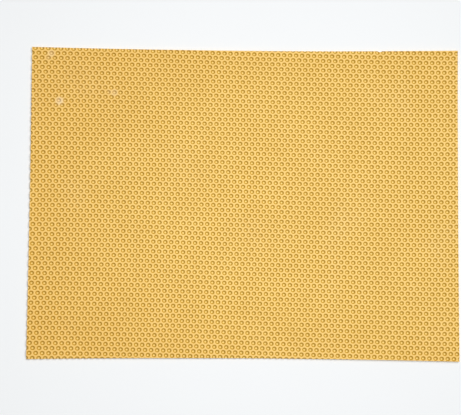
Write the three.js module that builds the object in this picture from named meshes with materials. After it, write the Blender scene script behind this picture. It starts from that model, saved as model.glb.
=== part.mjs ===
// A sheet of beeswax comb foundation, lying flat on its underside.
//
// Millimetres, +Z up. The origin is the middle of the underside. +X runs along the two long
// edges, and so along the rows of cells, and +Y runs across the sheet.
//
// The real object is one piece: a single sheet of wax, rolled and cut to size. This is its
// outside, from the top of the embossing on one face to the top of the embossing on the other.
import * as THREE from 'three';

// Driving dimensions
const sheetLength = 386;      // between the two straight short ends
const leftEndWidth = 281.6;   // the sheet is cut a little out of true, and is widest here
const rightEndWidth = 280.3;
const sheetThickness = 2.2;   // over the ridges of both embossed faces
const longEdgeHollow = 1.9;   // how far each long edge draws in at its middle
const nickCentre = 122.4;     // X of the small nick in the far long edge
const nickWidth = 4;
const nickDepth = 0.9;
const stepsPerCurve = 24;     // flats that stand for each curved stretch of the outline

// The long edges are shallow parabolas that close in a little towards the right end.
const halfLength = sheetLength / 2;
const waist = (leftEndWidth + rightEndWidth) / 4 - longEdgeHollow;
const taper = (rightEndWidth - leftEndWidth) / 2 / sheetLength;
const spread = longEdgeHollow / halfLength ** 2;

// Half the sheet's width at a place along its length.
function halfWidthAt(x) {
  return waist + taper * x + spread * x ** 2;
}

// Draws a long edge from one place along the length to another. side is 1 for the far edge
// and -1 for the near one. Tangents to a parabola meet halfway between the two places.
function drawLongEdge(outline, from, to, side) {
  const meetingX = (from + to) / 2;
  const meetingY = waist + taper * meetingX + spread * from * to;
  outline.quadraticCurveTo(meetingX, side * meetingY, to, side * halfWidthAt(to));
}

// A dent in the far edge, as deep as nickDepth at its middle.
function drawNick(outline, from, to) {
  const deepest = halfWidthAt(nickCentre) - 2 * nickDepth;
  outline.quadraticCurveTo(nickCentre, deepest, to, halfWidthAt(to));
}

function sheetOutline() {
  const nickStart = nickCentre + nickWidth / 2;
  const nickEnd = nickCentre - nickWidth / 2;
  const outline = new THREE.Shape();
  outline.moveTo(-halfLength, -halfWidthAt(-halfLength));
  drawLongEdge(outline, -halfLength, halfLength, -1);
  outline.lineTo(halfLength, halfWidthAt(halfLength));
  drawLongEdge(outline, halfLength, nickStart, 1);
  drawNick(outline, nickStart, nickEnd);
  drawLongEdge(outline, nickEnd, -halfLength, 1);
  outline.closePath();
  return outline;
}

const beeswax = new THREE.MeshStandardMaterial({
  name: 'beeswax',
  color: new THREE.Color(0xe6bd67),
  roughness: 0.5,
  metalness: 0,
});

function makeFoundationSheet() {
  const slab = new THREE.ExtrudeGeometry(sheetOutline(), {
    depth: sheetThickness,
    curveSegments: stepsPerCurve,
    bevelEnabled: false,
  });
  const sheet = new THREE.Mesh(slab, beeswax);
  sheet.name = 'foundation_sheet';
  return sheet;
}

const object = new THREE.Group();
object.name = 'comb_foundation';
object.add(makeFoundationSheet());

export default object;
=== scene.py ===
"""A sheet of beeswax comb foundation, laid out as an add-on and run as a script.

The sheet is one piece of solid wax with close rows of round-bottomed pits in both faces. The
pits of the underside lie between those of the upper face, as the two sides of a comb do. It is
rolled as an even six-sided pattern, then drawn out a little, cut to size and laid on a stage.
Everything is in metres, and the sheet rests on Z = 0.
"""

import math

import bmesh
import bpy
from bpy.props import FloatProperty, FloatVectorProperty, IntProperty, PointerProperty
from mathutils import Matrix, Vector, noise


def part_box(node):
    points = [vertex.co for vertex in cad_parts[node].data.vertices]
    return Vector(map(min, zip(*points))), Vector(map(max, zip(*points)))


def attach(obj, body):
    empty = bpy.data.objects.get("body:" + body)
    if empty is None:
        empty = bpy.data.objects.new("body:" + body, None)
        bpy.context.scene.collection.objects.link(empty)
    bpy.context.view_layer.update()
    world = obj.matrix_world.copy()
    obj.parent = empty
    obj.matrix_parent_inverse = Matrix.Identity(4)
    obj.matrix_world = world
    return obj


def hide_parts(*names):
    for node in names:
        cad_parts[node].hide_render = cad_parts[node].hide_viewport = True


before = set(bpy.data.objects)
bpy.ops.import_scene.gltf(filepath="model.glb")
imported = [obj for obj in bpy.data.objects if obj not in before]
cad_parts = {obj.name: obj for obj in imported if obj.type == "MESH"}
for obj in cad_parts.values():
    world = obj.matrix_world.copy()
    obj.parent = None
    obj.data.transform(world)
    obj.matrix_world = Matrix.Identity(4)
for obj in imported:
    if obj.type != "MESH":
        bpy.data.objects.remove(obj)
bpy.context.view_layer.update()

bl_info = {
    "name": "Comb foundation sheet",
    "version": (1, 0, 0),
    "blender": (4, 5, 0),
    "location": "3D View > Sidebar > Foundation",
    "description": "Builds an embossed sheet of beeswax comb foundation on a plain stage",
    "category": "Add Mesh",
}

SHEET_NODE = "foundation_sheet"
SHEET_LOW, SHEET_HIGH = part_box(SHEET_NODE)


# ---------------------------------------------------------------------------------------------
# What a user would change
# ---------------------------------------------------------------------------------------------


class FoundationSheetSize(bpy.types.PropertyGroup):
    """The outside of the sheet, from ridge top to ridge top"""

    length: FloatProperty(
        name="Length",
        description="Distance between the two straight ends",
        default=SHEET_HIGH.x - SHEET_LOW.x,
        unit="LENGTH",
    )
    width: FloatProperty(
        name="Width",
        description="Distance across the sheet at its corners",
        default=SHEET_HIGH.y - SHEET_LOW.y,
        unit="LENGTH",
    )
    thickness: FloatProperty(
        name="Thickness",
        description="Distance over the ridges of both faces",
        default=SHEET_HIGH.z - SHEET_LOW.z,
        unit="LENGTH",
    )
    taper: FloatProperty(
        name="Taper",
        description="How much narrower the sheet is at its right end than at its left",
        default=0.0013,
        unit="LENGTH",
    )
    hollow: FloatProperty(
        name="Hollow edges",
        description="How far each long edge draws in at its middle",
        default=0.0019,
        unit="LENGTH",
    )
    end_hollow: FloatProperty(
        name="Hollow ends",
        description="How far each short end draws in at its middle",
        default=0.0005,
        unit="LENGTH",
    )
    nick_place: FloatProperty(
        name="Nick place",
        description="Where along the far edge the nick is",
        default=0.1224,
        unit="LENGTH",
    )
    nick_width: FloatProperty(
        name="Nick width",
        description="Width of the nick along the far edge",
        default=0.004,
        unit="LENGTH",
    )
    nick_depth: FloatProperty(
        name="Nick depth",
        description="Depth of the nick at its middle",
        default=0.0009,
        unit="LENGTH",
    )


class FoundationCells(bpy.types.PropertyGroup):
    """The pattern on the rollers"""

    cell_width: FloatProperty(
        name="Cell width",
        description="From one cell's middle to the next along a row",
        default=0.005335,
        unit="LENGTH",
    )
    rim_radius: FloatProperty(
        name="Pit rim",
        description="Radius of the pit where it leaves the flat ridge",
        default=0.00217,
        unit="LENGTH",
    )
    shoulder_radius: FloatProperty(
        name="Pit shoulder",
        description="Radius of the pit where its rounded rim ends",
        default=0.00194,
        unit="LENGTH",
    )
    shoulder_depth: FloatProperty(
        name="Shoulder depth",
        description="Depth of the pit where its rounded rim ends",
        default=0.000145,
        unit="LENGTH",
    )
    foot_radius: FloatProperty(
        name="Wall foot",
        description="Radius of the pit where its wall starts to turn into its floor",
        default=0.00105,
        unit="LENGTH",
    )
    foot_depth: FloatProperty(
        name="Foot depth",
        description="Depth of the pit where its wall starts to turn into its floor",
        default=0.00083,
        unit="LENGTH",
    )
    floor_radius: FloatProperty(
        name="Pit floor",
        description="Radius of the pit's flat floor",
        default=0.0007,
        unit="LENGTH",
    )
    pit_depth: FloatProperty(
        name="Pit depth",
        description="Depth of the pit's floor below the ridges",
        default=0.00108,
        unit="LENGTH",
    )
    rows_per_band: IntProperty(
        name="Rows in a band",
        description="Rows of cells that are made as one mesh",
        default=12,
        min=2,
    )
    unevenness: FloatProperty(
        name="Unevenness",
        description="How much the depth varies from pit to pit",
        default=0.05,
        subtype="FACTOR",
    )


class FoundationDrawing(bpy.types.PropertyGroup):
    """How the rolled wax was drawn out before it was cut

    Each length is how far the wax has moved at an end or an edge of the pattern
    """

    squeeze: FloatProperty(
        name="Squeeze",
        description="Distance between rows as a share of what the rollers gave",
        default=0.9369,
        subtype="FACTOR",
    )
    both_ends: FloatProperty(
        name="Draw at both ends",
        description="How much longer the wax is drawn at the two ends",
        default=0.00362,
        unit="LENGTH",
    )
    columns_right: FloatProperty(
        name="Columns to the right",
        description="How far the columns half way to either end have crept to the right",
        default=0.00106,
        unit="LENGTH",
    )
    ends_left: FloatProperty(
        name="Ends to the left",
        description="How far the last columns at both ends have crept back to the left",
        default=0.00224,
        unit="LENGTH",
    )
    edge_lean: FloatProperty(
        name="Edge lean",
        description="How far rows lie to the left by the far edge, and to the right by the near",
        default=0.00041,
        unit="LENGTH",
    )
    edge_rows: FloatProperty(
        name="Edge rows apart",
        description="How much further apart the rows are drawn by the long edges",
        default=0.00063,
        unit="LENGTH",
    )
    corners_along: FloatProperty(
        name="Corners outwards",
        description="How far the corners flare out along the sheet",
        default=0.00132,
        unit="LENGTH",
    )
    corners_across: FloatProperty(
        name="Corners apart",
        description="How far the corners flare out across the sheet",
        default=0.00077,
        unit="LENGTH",
    )
    column_bow: FloatProperty(
        name="Column bow",
        description="How far the columns bow to the left at the long edges",
        default=0.0011,
        unit="LENGTH",
    )
    twist: FloatProperty(
        name="Twist",
        description="How far the far right and near left corners move to the right",
        default=0.00087,
        unit="LENGTH",
    )
    row_fall: FloatProperty(
        name="Row fall",
        description="How far the rows fall towards the right end",
        default=0.00506,
        unit="LENGTH",
    )
    row_ease: FloatProperty(
        name="Row ease",
        description="How much of that fall eases off at the ends",
        default=0.00092,
        unit="LENGTH",
    )
    near_spread: FloatProperty(
        name="Near rows apart",
        description="How far the rows spread apart towards the near edge",
        default=0.00089,
        unit="LENGTH",
    )
    right_lift: FloatProperty(
        name="Right corners lift",
        description="How far both corners at the right end move to the far side",
        default=0.00071,
        unit="LENGTH",
    )
    shift_along: FloatProperty(
        name="Shift along",
        description="Where the middle cell lies along the sheet",
        default=-0.00087,
        unit="LENGTH",
    )
    shift_across: FloatProperty(
        name="Shift across",
        description="Where the middle cell lies across the sheet",
        default=-0.00259,
        unit="LENGTH",
    )


class FoundationWax(bpy.types.PropertyGroup):
    """The finish of the wax"""

    ridge_colour: FloatVectorProperty(
        name="Ridges",
        description="Colour of the flat ridges between the pits",
        default=(0.979, 0.661, 0.2085),
        subtype="COLOR",
    )
    # Painted shade: the walls are coloured darker and deeper than the ridges, standing in for the
    # shade in the pits and the light the wax scatters there.
    wall_shade_colour: FloatVectorProperty(
        name="Pit walls",
        description="Colour of the pits' sloping walls, where the wax looks deeper",
        default=(0.6, 0.355, 0.0438),
        subtype="COLOR",
    )
    # Painted light: the floors are coloured paler than the ridges, standing in for light that
    # comes through the thin wax.
    floor_colour: FloatVectorProperty(
        name="Pit floors",
        description="Colour of the pits' floors, where the wax is thin and lets light through",
        default=(0.949, 0.7125, 0.2445),
        subtype="COLOR",
    )
    cut_colour: FloatVectorProperty(
        name="Cut edges",
        description="Colour of the wax where the sheet was cut to size",
        default=(0.92, 0.6, 0.17),
        subtype="COLOR",
    )
    bloom_colour: FloatVectorProperty(
        name="Bloom",
        description="Colour of the pale film that old wax grows",
        default=(0.97, 0.86, 0.64),
        subtype="COLOR",
    )
    roughness: FloatProperty(
        name="Roughness",
        description="Roughness of the clean wax",
        default=0.48,
        subtype="FACTOR",
    )


class FoundationStage(bpy.types.PropertyGroup):
    """The floor, the light and the camera"""

    floor_colour: FloatVectorProperty(
        name="Floor",
        description="Colour of the floor",
        default=(0.893, 0.912, 0.928),
        subtype="COLOR",
    )
    key_strength: FloatProperty(
        name="Key light",
        description="Strength of the broad soft light from the far right, even all over",
        default=2.0,
    )
    key_breadth: FloatProperty(
        name="Key breadth",
        description="How broad the key light looks from the sheet",
        default=math.radians(48.0),
        subtype="ANGLE",
    )
    overhead_power: FloatProperty(
        name="Overhead light",
        description="Power of the soft light straight above",
        default=1.75,
        unit="POWER",
    )
    sky_strength: FloatProperty(
        name="Fill",
        description="Strength of the even light from all round",
        default=0.2,
    )
    camera_distance: FloatProperty(
        name="Camera distance",
        description="From the camera to the sheet",
        default=1.15,
        unit="LENGTH",
    )
    camera_tilt: FloatProperty(
        name="Camera tilt",
        description="How far the camera leans from straight above towards the near edge",
        default=math.radians(4.3),
        subtype="ANGLE",
    )
    camera_turn: FloatProperty(
        name="Camera turn",
        description="How far the camera is turned about its own axis",
        default=math.radians(0.446),
        subtype="ANGLE",
    )


# ---------------------------------------------------------------------------------------------
# The wax sheet
# ---------------------------------------------------------------------------------------------

# The rolled pattern, in cells
COLUMNS = 75              # cells in a row, more than are left once the sheet is cut
BANDS = 6                 # meshes that the sheet is split into, so that none is too large
FIRST_ROW = -34           # the nearest row, counted from the middle one
REACH_COLUMNS = 35        # columns from the middle to where the drawing lengths hold
REACH_ROWS = 28           # the same across the sheet, in cell widths

# Its faults: each length of a wave is in cell widths
DEPTH_WAVE = 1.4          # from a deeper pit to a shallower one
RIPPLE_WAVE = 4.0
RIPPLE = 0.00003          # how much the ridges vary in height
WANDER_WAVE = 1.7
WANDER = 0.00005          # how far a point strays sideways
WANDER_SEED = 1           # without it the points would stray differently in every run

# The cuts
MERGE = 1e-7              # points closer than this are one point
SLIVER = 2e-6             # edges shorter than this are left over from the cuts
DENT_REACH = 0.003        # how far into the sheet the nick pushes the wax


def make_cell(bm, cells):
    """One cell of the upper face round the origin: a flat hexagon with a round pit in it."""
    corner = cells.cell_width / math.sqrt(3)
    bmesh.ops.create_circle(bm, cap_ends=True, segments=6, radius=corner)
    bmesh.ops.bisect_edges(bm, edges=bm.edges[:], cuts=1)
    pit = bm.faces[:][0]

    # Each inset adds one ring of faces, whose inner edge is then put in its place.
    rings = (
        (cells.rim_radius, 0.0),
        (cells.shoulder_radius, cells.shoulder_depth),
        (cells.foot_radius, cells.foot_depth),
        (cells.floor_radius, cells.pit_depth),
    )
    for radius, depth in rings:
        bmesh.ops.inset_individual(bm, faces=[pit], thickness=cells.rim_radius / 10)
        for vert in pit.verts:
            place = vert.co.xy.normalized() * radius
            vert.co = (place.x, place.y, -depth)
    if pit.normal.z < 0:
        bmesh.ops.reverse_faces(bm, faces=bm.faces[:])


def repeat_at(bm, offsets):
    """Sets a copy of everything in the mesh at each offset."""
    unit = bm.verts[:] + bm.edges[:] + bm.faces[:]
    unit_verts = bm.verts[:]
    for offset in offsets[1:]:
        copy = bmesh.ops.duplicate(bm, geom=unit)["geom"]
        verts = [part for part in copy if isinstance(part, bmesh.types.BMVert)]
        bmesh.ops.translate(bm, verts=verts, vec=offset)
    bmesh.ops.translate(bm, verts=unit_verts, vec=offsets[0])


def make_rolled_band(bm, cells, first_row, thickness):
    """A closed slab of whole cells, even as the rollers leave it, with pits in both faces."""
    width = cells.cell_width
    corner = width / math.sqrt(3)
    row_step = 1.5 * corner
    make_cell(bm, cells)
    columns = range(-(COLUMNS // 2), COLUMNS - COLUMNS // 2)
    repeat_at(bm, [Vector((column * width, 0, 0)) for column in columns])
    rows = range(first_row, first_row + cells.rows_per_band)
    repeat_at(bm, [Vector((row % 2 * width / 2, row * row_step, thickness)) for row in rows])
    bmesh.ops.remove_doubles(bm, verts=bm.verts[:], dist=MERGE)

    # The underside is the same pattern turned over and moved, so that the middle of each pit
    # lies under a corner where three cells of the upper face meet.
    to_underside = Vector((width / 2, -corner / 2, -thickness))
    turned_over = Matrix.Translation(to_underside + Vector((0, 0, 2 * thickness)))
    turned_over @= Matrix.Scale(-1, 4, (0, 0, 1))
    upper = bm.verts[:] + bm.edges[:] + bm.faces[:]
    upper_rim = [edge for edge in bm.edges if edge.is_boundary]
    copy = bmesh.ops.duplicate(bm, geom=upper)["geom"]
    lower_verts = [part for part in copy if isinstance(part, bmesh.types.BMVert)]
    lower_faces = [part for part in copy if isinstance(part, bmesh.types.BMFace)]
    bmesh.ops.transform(bm, matrix=turned_over, verts=lower_verts)
    bmesh.ops.reverse_faces(bm, faces=lower_faces)
    for face in bm.faces:
        face.smooth = True

    wall = bmesh.ops.extrude_edge_only(bm, edges=upper_rim)["geom"]
    wall_verts = [part for part in wall if isinstance(part, bmesh.types.BMVert)]
    wall_faces = [part for part in wall if isinstance(part, bmesh.types.BMFace)]
    bmesh.ops.translate(bm, verts=wall_verts, vec=to_underside)
    for face in wall_faces:
        face.smooth = False
    bmesh.ops.remove_doubles(bm, verts=bm.verts[:], dist=MERGE)
    bmesh.ops.recalc_face_normals(bm, faces=bm.faces[:])


def drawn_place(x, y, cells, drawing):
    """Where a point of the rolled pattern lies once the wax has been drawn out."""
    along = x / (REACH_COLUMNS * cells.cell_width)
    across = y / (REACH_ROWS * cells.cell_width)
    new_x = (
        x
        + drawing.shift_along
        + drawing.both_ends * along**3
        + drawing.columns_right * along**2
        - drawing.ends_left * along**4
        - drawing.edge_lean * across**3
        + drawing.corners_along * along * across**2
        - drawing.column_bow * across**2
        + drawing.twist * along * across
    )
    new_y = (
        y * drawing.squeeze
        + drawing.shift_across
        - drawing.row_fall * along
        + drawing.row_ease * along**3
        + drawing.corners_across * along**2 * across
        - drawing.near_spread * across**2
        + drawing.edge_rows * across**3
        + drawing.right_lift * along * across**2
    )
    return new_x, new_y


def half_width_at(x, size):
    """Half the sheet's width at a place along its length."""
    along = 2 * x / size.length
    return size.width / 2 - size.hollow * (1 - along**2) - size.taper / 4 * (1 + along)


def half_length_at(y, size):
    """Half the sheet's length at a place across its width."""
    return size.length / 2 - size.end_hollow * (1 - (2 * y / size.width) ** 2)


def uneven_height(place, size, cells):
    """The height of a point once the pits vary in depth and the ridges ripple."""
    deepening = 1 + cells.unevenness * noise.noise(place / (DEPTH_WAVE * cells.cell_width))
    ripple = RIPPLE * (0.5 + 0.5 * noise.noise(place / (RIPPLE_WAVE * cells.cell_width)))
    if place.z > size.thickness / 2:
        return size.thickness - (size.thickness - place.z) * deepening - ripple
    return place.z * deepening + ripple


def draw_out(bm, size, cells, drawing):
    """Moves the rolled pattern to where the drawn-out wax lies, with its small faults."""
    wander_length = WANDER_WAVE * cells.cell_width
    noise.seed_set(WANDER_SEED)
    for vert in bm.verts:
        x, y = drawn_place(vert.co.x, vert.co.y, cells, drawing)
        stray = noise.noise_vector(Vector((x, y, 0)) / wander_length) * WANDER
        x += stray.x
        y += stray.y
        longer = size.length / 2 / half_length_at(y, size)
        wider = size.width / 2 / half_width_at(x, size)
        vert.co = (x * longer, y * wider, vert.co.z)
        vert.co.z = uneven_height(vert.co, size, cells)


def cut_off(bm, place, outwards):
    """Cuts the sheet along a plane, takes away what lies outside and closes the cut."""
    parts = bm.verts[:] + bm.edges[:] + bm.faces[:]
    cut = bmesh.ops.bisect_plane(
        bm, geom=parts, dist=MERGE, plane_co=place, plane_no=outwards, clear_outer=True
    )["geom_cut"]
    edges = [part for part in cut if isinstance(part, bmesh.types.BMEdge)]
    if not edges:
        return
    closed = bmesh.ops.triangle_fill(bm, edges=edges, use_beauty=True, normal=outwards)
    for part in closed["geom"]:
        if isinstance(part, bmesh.types.BMFace):
            part.smooth = False


def cut_to_size(bm, size):
    """Cuts the four edges straight, then draws them in so that they are hollow."""
    for side in (-1, 1):
        cut_off(bm, Vector((side * size.length / 2, 0, 0)), Vector((side, 0, 0)))
        cut_off(bm, Vector((0, side * size.width / 2, 0)), Vector((0, side, 0)))
    for vert in bm.verts:
        shorter = half_length_at(vert.co.y, size) * 2 / size.length
        narrower = half_width_at(vert.co.x, size) * 2 / size.width
        vert.co.x *= shorter
        vert.co.y *= narrower


def parts_near_nick(bm, size):
    """The faces round the nick, with their edges and points."""
    edge = half_width_at(size.nick_place, size)
    parts = {}
    for face in bm.faces:
        middle = face.calc_center_median()
        if abs(middle.x - size.nick_place) < size.nick_width and middle.y > edge - 2 * DENT_REACH:
            parts.update(dict.fromkeys((face, *face.edges, *face.verts)))
    return list(parts)


def dent_far_edge(bm, size):
    """Pushes the far edge in at the nick."""
    half = size.nick_width / 2
    for shift in (-half, -half / 2, 0, half / 2, half):
        near = parts_near_nick(bm, size)
        if not near:
            return
        plane = Vector((size.nick_place + shift, 0, 0))
        bmesh.ops.bisect_plane(
            bm, geom=near, dist=MERGE, plane_co=plane, plane_no=Vector((1, 0, 0))
        )
    for vert in bm.verts:
        off = (vert.co.x - size.nick_place) / half
        inside = half_width_at(vert.co.x, size) - vert.co.y
        if abs(off) < 1 and inside < DENT_REACH:
            vert.co.y -= size.nick_depth * (1 - off**2) * (1 - inside / DENT_REACH)


def sharpen_cuts(bm):
    """Marks the edges round the flat walls as sharp, so that the ridges stay flat up to them."""
    for edge in bm.edges:
        if not all(face.smooth for face in edge.link_faces):
            edge.smooth = False


def make_band(number, size, cells, drawing, wax):
    """One band of rows, from end to end of the sheet."""
    bm = bmesh.new()
    first_row = FIRST_ROW + number * cells.rows_per_band
    make_rolled_band(bm, cells, first_row, size.thickness)
    draw_out(bm, size, cells, drawing)
    cut_to_size(bm, size)
    if not bm.faces:
        raise ValueError(f"band {number + 1} lies wholly outside the sheet")
    dent_far_edge(bm, size)
    bmesh.ops.dissolve_degenerate(bm, edges=bm.edges[:], dist=SLIVER)
    bmesh.ops.recalc_face_normals(bm, faces=bm.faces[:])
    if bm.calc_volume(signed=True) < 0:
        bmesh.ops.reverse_faces(bm, faces=bm.faces[:])
    sharpen_cuts(bm)
    mesh = bpy.data.meshes.new(f"foundation_rows_{number + 1}")
    bm.to_mesh(mesh)
    bm.free()
    mesh.materials.append(wax)
    band = bpy.data.objects.new(mesh.name, mesh)
    bpy.context.collection.objects.link(band)
    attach(band, "root")
    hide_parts(SHEET_NODE)
    return band


# ---------------------------------------------------------------------------------------------
# Materials
# ---------------------------------------------------------------------------------------------

# A scale is in bumps to the metre, and a tint multiplies the colour under it.
WHITE = (1.0, 1.0, 1.0, 1.0)
MOTTLE_DETAIL = 4.0
MOTTLE_LOW = 0.3          # noise at which the mottle starts
MOTTLE_HIGH = 0.7         # noise at which it is full

# Depth in the wax, as the distance from the sheet's middle: 1 on the ridges of either face
RIDGE_STARTS = 0.99
RIDGE_ENDS = 0.88
FLOOR_STARTS = 0.04
FLOOR_ENDS = 0.2
CUT_RISE = 0.3            # a face whose normal rises less than this is a cut edge

CLOUD_SCALE = 22.0        # broad clouds
CLOUD_TINT = (0.977, 0.968, 0.943, 1.0)
CELL_SCALE = 210.0        # differences from cell to cell
CELL_LOW = 0.35
CELL_HIGH = 0.75
CELL_TINT = (0.97, 0.955, 0.92, 1.0)
# Painted shade: the wax darkens away from a place right of the middle, towards the left end and
# the long edges, standing in for light that falls off there.
FALLOFF_CENTRE = (0.08, 0.0, 0.0)  # where the wax is left without painted shade
FALLOFF_STRETCH = (1.0, 1.5, 0.0)  # how much sooner the painted shade darkens across the sheet than along it
FALLOFF_FROM = 0.12          # distance at which the painted shade starts
FALLOFF_TO = 0.33
FALLOFF_SHADE_TINT = (0.955, 0.905, 0.845, 1.0)

BLOOM_SCALE = 16.0        # patches of bloom
BLOOM_DETAIL = 5.0
BLOOM_LOW = 0.52
BLOOM_HIGH = 0.8
SPECK_SCALE = 700.0       # specks inside them
SPECK_DETAIL = 4.0
SPECK_LOW = 0.4
SPECK_HIGH = 0.7
BLOOM_THIN = 0.02
BLOOM_THICK = 0.1
# The film is coloured darker in the pits than on the ridges, as painted shade in the pits.
SHADED_PIT_BLOOM = (0.84, 0.66, 0.46, 1.0)
RAG_SCALE = 900.0         # ragged edge of a spot
SPOT_CORE = 0.5           # share of its radius over which a spot is full
SPOT_EDGE = 1.9
BLOOM_SPOTS = (           # place on the upper face, radius and strength
    ((-0.1672, 0.0914), 0.0041, 0.5),
    ((-0.1757, 0.1348), 0.0036, 0.32),
    ((-0.1782, 0.1310), 0.0024, 0.2),
    ((-0.1177, 0.0993), 0.0034, 0.3),
    ((-0.1226, 0.0998), 0.0027, 0.17),
)

GLOSS_SCALE = 60.0        # smears in the gloss
GLOSS_SWING = 0.12        # between the glossiest and the dullest smear
BLOOM_DULLNESS = 0.3
WAX_IOR = 1.44
WAX_SPECULAR = 0.25
GRAIN_SCALE = 650.0
FINE_GRAIN_SCALE = 2200.0
FINE_GRAIN_DETAIL = 2.0
FINE_GRAIN_SHARE = 0.4
GRAIN_STRENGTH = 0.35
GRAIN_DEPTH = 0.00008

BOARD_SCALE = 9.0         # mottle of the floor
BOARD_MOTTLE = 0.05
BOARD_SHADE = 0.94        # its darker colour, as a share of the lighter
BOARD_ROUGHNESS = 0.7


def add_node(tree, kind, **settings):
    """A new node with its settings."""
    node = tree.nodes.new(kind)
    for name, value in settings.items():
        setattr(node, name, value)
    return node


def feed(tree, socket, value):
    """Gives an input a value, which is a number, a colour or another node's output."""
    if isinstance(value, bpy.types.NodeSocket):
        tree.links.new(value, socket)
    else:
        socket.default_value = value


def add_math(tree, operation, first, second=0.5):
    """A Math node on two values, each a number or an output."""
    node = add_node(tree, "ShaderNodeMath", operation=operation)
    feed(tree, node.inputs[0], first)
    feed(tree, node.inputs[1], second)
    return node.outputs[0]


def add_noise(tree, place, scale, detail=3.0):
    """Noise from 0 to 1 over the surface, with scale in bumps to the metre."""
    node = add_node(tree, "ShaderNodeTexNoise")
    feed(tree, node.inputs["Vector"], place)
    feed(tree, node.inputs["Scale"], scale)
    feed(tree, node.inputs["Detail"], detail)
    return node.outputs["Fac"]


def add_range(tree, value, low, high, new_low=0.0, new_high=1.0):
    """Stretches a value from one range to another, smoothly at both ends."""
    node = add_node(tree, "ShaderNodeMapRange", interpolation_type="SMOOTHSTEP")
    feed(tree, node.inputs["Value"], value)
    ends = (("From Min", low), ("From Max", high), ("To Min", new_low), ("To Max", new_high))
    for name, number in ends:
        node.inputs[name].default_value = number
    return node.outputs["Result"]


def add_mix(tree, share, first, second, blend="MIX"):
    """Mixes two colours, each a colour or a socket, by a share."""
    node = add_node(tree, "ShaderNodeMix", data_type="RGBA", blend_type=blend)
    feed(tree, node.inputs[0], share)
    feed(tree, node.inputs[6], first)
    feed(tree, node.inputs[7], second)
    return node.outputs[2]


def opaque(colour):
    """A colour with the fourth number that a node's socket wants."""
    return (*colour, 1.0)


def make_mottle():
    """The cloudiness that the wax and the floor share: a soft mask from 0 to 1."""
    group = bpy.data.node_groups.new("mottle", "ShaderNodeTree")
    group.interface.new_socket("Place", in_out="INPUT", socket_type="NodeSocketVector")
    group.interface.new_socket("Scale", in_out="INPUT", socket_type="NodeSocketFloat")
    group.interface.new_socket("Mask", in_out="OUTPUT", socket_type="NodeSocketFloat")
    given = group.nodes.new("NodeGroupInput")
    result = group.nodes.new("NodeGroupOutput")
    clouds = add_noise(group, given.outputs["Place"], given.outputs["Scale"], MOTTLE_DETAIL)
    mask = add_range(group, clouds, MOTTLE_LOW, MOTTLE_HIGH)
    feed(group, result.inputs["Mask"], mask)
    return group


def add_mottle(tree, place, scale):
    """Places the shared mottle in a material."""
    mottle = bpy.data.node_groups.get("mottle") or make_mottle()
    node = add_node(tree, "ShaderNodeGroup", node_tree=mottle)
    feed(tree, node.inputs["Place"], place)
    feed(tree, node.inputs["Scale"], scale)
    return node.outputs["Mask"]


def add_distance(tree, place, where):
    """Distance over the surface from a fixed place."""
    node = add_node(tree, "ShaderNodeVectorMath", operation="DISTANCE")
    feed(tree, node.inputs[0], place)
    feed(tree, node.inputs[1], where)
    return node.outputs["Value"]


def add_tint(tree, colour, share, tint):
    """Multiplies a colour by a tint as far as the share says."""
    return add_mix(tree, 1.0, colour, add_mix(tree, share, WHITE, tint), "MULTIPLY")


def add_spot(tree, place, where, radius):
    """A round mask with a ragged edge, 1 at its middle."""
    ragged = add_math(tree, "MULTIPLY", add_noise(tree, place, RAG_SCALE), radius)
    reach = add_math(tree, "ADD", add_distance(tree, place, where), ragged)
    return add_range(tree, reach, SPOT_CORE * radius, SPOT_EDGE * radius, 1.0, 0.0)


def add_ridge_mask(tree, height):
    """0 on the flat ridges and 1 inside the pits."""
    return add_range(tree, height, RIDGE_STARTS, RIDGE_ENDS)


def add_height(tree, place, size):
    """Distance from the middle of the sheet's thickness, as a share: 1 on either face."""
    split = add_node(tree, "ShaderNodeSeparateXYZ")
    feed(tree, split.inputs[0], place)
    middle = size.thickness / 2
    height = add_math(tree, "ABSOLUTE", add_math(tree, "SUBTRACT", split.outputs["Z"], middle))
    return add_math(tree, "DIVIDE", height, middle)


def add_painted_pit_shading(tree, height, in_pit, finish):
    """Ridge, painted shade on the pits' walls, painted light on their floors, and plain wax on
    the cut edges.
    """
    # The walls carry painted shade and the floors carry painted light, chosen by depth in the
    # wax.
    above_floor = add_range(tree, height, FLOOR_STARTS, FLOOR_ENDS)
    pit = add_mix(tree, above_floor, opaque(finish.floor_colour), opaque(finish.wall_shade_colour))
    colour = add_mix(tree, in_pit, opaque(finish.ridge_colour), pit)

    # The cut edges are upright, steeper than any wall of a pit.
    facing = add_node(tree, "ShaderNodeSeparateXYZ")
    feed(tree, facing.inputs[0], add_node(tree, "ShaderNodeNewGeometry").outputs["True Normal"])
    rise = add_math(tree, "ABSOLUTE", facing.outputs["Z"])
    is_cut = add_math(tree, "LESS_THAN", rise, CUT_RISE)
    return add_mix(tree, is_cut, colour, opaque(finish.cut_colour))


def add_mottle_and_painted_falloff(tree, place, colour):
    """Clouds, differences from cell to cell, and painted shade that darkens the wax towards the
    edges and the left end.
    """
    colour = add_tint(tree, colour, add_mottle(tree, place, CLOUD_SCALE), CLOUD_TINT)
    cell = add_range(tree, add_noise(tree, place, CELL_SCALE, 1.0), CELL_LOW, CELL_HIGH)
    colour = add_tint(tree, colour, cell, CELL_TINT)
    stretched = add_node(tree, "ShaderNodeVectorMath", operation="MULTIPLY")
    feed(tree, stretched.inputs[0], place)
    feed(tree, stretched.inputs[1], FALLOFF_STRETCH)
    away = add_distance(tree, stretched.outputs["Vector"], FALLOFF_CENTRE)
    return add_tint(tree, colour, add_range(tree, away, FALLOFF_FROM, FALLOFF_TO), FALLOFF_SHADE_TINT)


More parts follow.
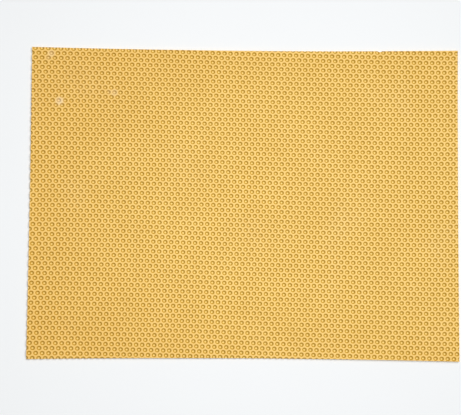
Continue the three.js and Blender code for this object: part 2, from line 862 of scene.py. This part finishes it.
def add_bloom(tree, place, size):
    """How thick the bloom is: a thin film in patches, and a few cells that it has filled."""
    patches = add_noise(tree, place, BLOOM_SCALE, BLOOM_DETAIL)
    patches = add_range(tree, patches, BLOOM_LOW, BLOOM_HIGH)
    specks = add_noise(tree, place, SPECK_SCALE, SPECK_DETAIL)
    specks = add_range(tree, specks, SPECK_LOW, SPECK_HIGH, BLOOM_THIN, BLOOM_THICK)
    bloom = add_math(tree, "MULTIPLY", patches, specks)
    for where, radius, strength in BLOOM_SPOTS:
        spot = add_spot(tree, place, (*where, size.thickness), radius)
        bloom = add_math(tree, "MAXIMUM", bloom, add_math(tree, "MULTIPLY", spot, strength))
    return bloom


def add_dullness(tree, place, bloom, finish):
    """Roughness of the satin wax, uneven, and duller under the bloom."""
    smear = add_math(tree, "MULTIPLY", add_mottle(tree, place, GLOSS_SCALE), GLOSS_SWING)
    dull = add_math(tree, "ADD", smear, finish.roughness - GLOSS_SWING / 2)
    return add_math(tree, "ADD", dull, add_math(tree, "MULTIPLY", bloom, BLOOM_DULLNESS))


def add_grain(tree, place):
    """The fine grain of the surface, as a normal."""
    fine = add_noise(tree, place, FINE_GRAIN_SCALE, FINE_GRAIN_DETAIL)
    fine = add_math(tree, "MULTIPLY", fine, FINE_GRAIN_SHARE)
    grain = add_math(tree, "ADD", add_noise(tree, place, GRAIN_SCALE), fine)
    bump = add_node(tree, "ShaderNodeBump")
    bump.inputs["Strength"].default_value = GRAIN_STRENGTH
    bump.inputs["Distance"].default_value = GRAIN_DEPTH
    feed(tree, bump.inputs["Height"], grain)
    return bump.outputs["Normal"]


def make_wax(finish, size):
    """Yellow beeswax: deeper in colour on the pits' walls as painted shade and paler on their
    floors as painted light, darker towards the edges as painted shade, with a faint pale bloom
    and a soft, uneven gloss.
    """
    material = bpy.data.materials.new("beeswax")
    material.use_nodes = True
    tree = material.node_tree
    shader = tree.nodes["Principled BSDF"]
    place = add_node(tree, "ShaderNodeTexCoord").outputs["Object"]

    height = add_height(tree, place, size)
    in_pit = add_ridge_mask(tree, height)
    colour = add_painted_pit_shading(tree, height, in_pit, finish)
    colour = add_mottle_and_painted_falloff(tree, place, colour)
    bloom = add_bloom(tree, place, size)
    film = add_mix(tree, in_pit, opaque(finish.bloom_colour), SHADED_PIT_BLOOM)
    feed(tree, shader.inputs["Base Color"], add_mix(tree, bloom, colour, film))
    feed(tree, shader.inputs["Roughness"], add_dullness(tree, place, bloom, finish))
    feed(tree, shader.inputs["Normal"], add_grain(tree, place))
    shader.inputs["IOR"].default_value = WAX_IOR
    shader.inputs["Specular IOR Level"].default_value = WAX_SPECULAR
    return material


def make_floor_paint(stage):
    """Matt off-white board with a barely visible mottle."""
    material = bpy.data.materials.new("floor_board")
    material.use_nodes = True
    tree = material.node_tree
    shader = tree.nodes["Principled BSDF"]
    place = add_node(tree, "ShaderNodeTexCoord").outputs["Object"]
    share = add_math(tree, "MULTIPLY", add_mottle(tree, place, BOARD_SCALE), BOARD_MOTTLE)
    darker = opaque([BOARD_SHADE * value for value in stage.floor_colour])
    colour = add_mix(tree, share, opaque(stage.floor_colour), darker)
    feed(tree, shader.inputs["Base Color"], colour)
    shader.inputs["Roughness"].default_value = BOARD_ROUGHNESS
    return material


# ---------------------------------------------------------------------------------------------
# The stage
# ---------------------------------------------------------------------------------------------

FLOOR_HALF = 3.0          # half the side of the floor
FLOOR_SQUARES = 12        # along each side
FLOOR_GAP = 0.0001        # how far the floor lies under the sheet, so that the two don't blink
AIM = (-0.01201, -0.00404)  # what the camera looks at on the sheet
SENSOR = 36.0             # millimetres
LENS = 99.96
CLIP_START = 0.05
KEY_PLACE = (1.4, 1.05, 2.7)
OVERHEAD_AIM = (0.03, 0.015)
OVERHEAD_HEIGHT = 0.7
OVERHEAD_SIZE = 0.44
SKY_COLOUR = (1.0, 0.99, 0.965, 1.0)


def make_floor(stage):
    """A wide pale board, just under the sheet."""
    bm = bmesh.new()
    bmesh.ops.create_grid(
        bm, x_segments=FLOOR_SQUARES, y_segments=FLOOR_SQUARES, size=FLOOR_HALF
    )
    bmesh.ops.translate(bm, verts=bm.verts[:], vec=(0, 0, -FLOOR_GAP))
    mesh = bpy.data.meshes.new("floor")
    bm.to_mesh(mesh)
    bm.free()
    mesh.materials.append(make_floor_paint(stage))
    floor = bpy.data.objects.new("floor", mesh)
    bpy.context.collection.objects.link(floor)


def aim_at(thing, target, turn=0.0):
    """Points a camera or a light at a place, with its top towards the far side."""
    away = (thing.location - Vector(target)).normalized()
    side = Vector((0, 1, 0)).cross(away).normalized()
    up = away.cross(side)
    axes = Matrix((side, up, away)).transposed().to_4x4()
    thing.matrix_world = Matrix.Translation(thing.location) @ axes @ Matrix.Rotation(turn, 4, "Z")


def place_lamp(lamp, place, target):
    """Hangs a lamp at a place, out of the camera's sight, and points it at a target."""
    holder = bpy.data.objects.new(lamp.name, lamp)
    holder.location = place
    holder.visible_camera = False
    bpy.context.collection.objects.link(holder)
    aim_at(holder, target)


def make_key(stage):
    """A broad soft light from the far right, even all over the stage."""
    lamp = bpy.data.lights.new("key", "SUN")
    lamp.energy = stage.key_strength
    lamp.angle = stage.key_breadth
    place_lamp(lamp, KEY_PLACE, (0, 0, 0))


def make_overhead(stage):
    """A soft round light over the sheet, which reaches the floors of the pits."""
    lamp = bpy.data.lights.new("overhead", "AREA")
    lamp.shape = "DISK"
    lamp.size = OVERHEAD_SIZE
    lamp.energy = stage.overhead_power
    place_lamp(lamp, (*OVERHEAD_AIM, OVERHEAD_HEIGHT), (*OVERHEAD_AIM, 0))


def make_camera(stage, size):
    """A long lens above the sheet, leaning a little towards its near edge."""
    camera = bpy.data.cameras.new("camera")
    camera.lens = LENS
    camera.sensor_width = SENSOR
    camera.sensor_fit = "HORIZONTAL"
    camera.clip_start = CLIP_START
    holder = bpy.data.objects.new("camera", camera)
    target = Vector((*AIM, size.thickness))
    lean = Vector((0, -math.sin(stage.camera_tilt), math.cos(stage.camera_tilt)))
    lean.rotate(Matrix.Rotation(stage.camera_turn, 3, "Z"))
    holder.location = target + lean * stage.camera_distance
    bpy.context.collection.objects.link(holder)
    aim_at(holder, target, stage.camera_turn)
    bpy.context.scene.camera = holder


def make_sky(stage):
    """Even light from all round."""
    world = bpy.data.worlds.new("studio")
    world.use_nodes = True
    background = world.node_tree.nodes["Background"]
    background.inputs["Color"].default_value = SKY_COLOUR
    background.inputs["Strength"].default_value = stage.sky_strength
    bpy.context.scene.world = world


# ---------------------------------------------------------------------------------------------
# Operators and panel
# ---------------------------------------------------------------------------------------------


class FOUNDATION_OT_sheet(bpy.types.Operator):
    """Build the embossed wax sheet, in bands of rows that meet on the ridges"""

    bl_idname = "foundation.sheet"
    bl_label = "Wax sheet"

    def execute(self, context):
        scene = context.scene
        wax = make_wax(scene.foundation_wax, scene.foundation_size)
        for number in range(BANDS):
            make_band(
                number,
                scene.foundation_size,
                scene.foundation_cells,
                scene.foundation_drawing,
                wax,
            )
        return {"FINISHED"}


class FOUNDATION_OT_stage(bpy.types.Operator):
    """Build the floor, the lights and the camera"""

    bl_idname = "foundation.stage"
    bl_label = "Stage"

    def execute(self, context):
        scene = context.scene
        stage = scene.foundation_stage
        make_floor(stage)
        make_sky(stage)
        make_key(stage)
        make_overhead(stage)
        make_camera(stage, scene.foundation_size)
        scene.view_settings.view_transform = "Standard"
        return {"FINISHED"}


class FOUNDATION_PT_panel(bpy.types.Panel):
    """Sizes and finishes of the foundation sheet"""

    bl_label = "Comb foundation"
    bl_idname = "FOUNDATION_PT_panel"
    bl_space_type = "VIEW_3D"
    bl_region_type = "UI"
    bl_category = "Foundation"

    def draw(self, context):
        """Lists the fields of each group, then the two operators."""
        layout = self.layout
        for name in GROUPS:
            group = getattr(context.scene, name)
            box = layout.box()
            for field in group.__annotations__:
                box.prop(group, field)
        layout.operator(FOUNDATION_OT_sheet.bl_idname)
        layout.operator(FOUNDATION_OT_stage.bl_idname)


GROUPS = {
    "foundation_size": FoundationSheetSize,
    "foundation_cells": FoundationCells,
    "foundation_drawing": FoundationDrawing,
    "foundation_wax": FoundationWax,
    "foundation_stage": FoundationStage,
}
CLASSES = (*GROUPS.values(), FOUNDATION_OT_sheet, FOUNDATION_OT_stage, FOUNDATION_PT_panel)


def register():
    """Adds the classes, and the groups of fields to the scene."""
    for cls in CLASSES:
        bpy.utils.register_class(cls)
    for name, group in GROUPS.items():
        setattr(bpy.types.Scene, name, PointerProperty(type=group))


def unregister():
    """Takes the groups of fields and the classes away again."""
    for name in GROUPS:
        delattr(bpy.types.Scene, name)
    for cls in reversed(CLASSES):
        bpy.utils.unregister_class(cls)


def main():
    """Builds the sheet and its stage."""
    register()
    bpy.ops.foundation.sheet()
    bpy.ops.foundation.stage()


if __name__ == "__main__":
    main()
